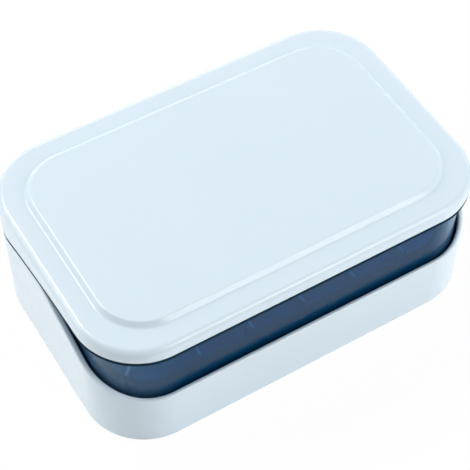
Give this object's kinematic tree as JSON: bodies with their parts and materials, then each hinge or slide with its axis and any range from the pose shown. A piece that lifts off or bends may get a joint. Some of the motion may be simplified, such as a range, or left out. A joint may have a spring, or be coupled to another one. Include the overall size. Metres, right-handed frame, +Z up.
{
  "type": "travel soap box",
  "caption": "Low rounded travel soap box: lift-off lid with a raised panel, see-through liner tray that shows in a scooped front, drain rack inside and a soft lid seal.",
  "frame": {"origin": "centre of the flat underside, on the surface that the box stands on", "axes": "+Z up, +X along the long side, -Y towards the open front"},
  "size_m": [0.13, 0.085, 0.0475],
  "materials": {
    "shell": "pale blue moulded plastic with a fine satin texture",
    "liner": "glossy see-through navy plastic",
    "rack": "pale blue moulded plastic, satin",
    "seal": "pale grey silicone"
  },
  "bodies": {
    "base": {"base": "shell"},
    "tray": {"tray": "liner"},
    "rack": {"drain_rack": "rack"},
    "lid": {"lid": "shell", "lid_seal": "seal"}
  },
  "joints": [
    {"name": "tray_lift", "type": "slide", "parent": "base", "child": "tray", "axis": [0, 0, 1], "range_m": [0, 0.04]},
    {"name": "rack_lift", "type": "slide", "parent": "tray", "child": "rack", "axis": [0, 0, 1], "range_m": [0, 0.03]},
    {"name": "lid_lift", "type": "slide", "parent": "rack", "child": "lid", "axis": [0, 0, 1], "range_m": [0, 0.03]}
  ]
}
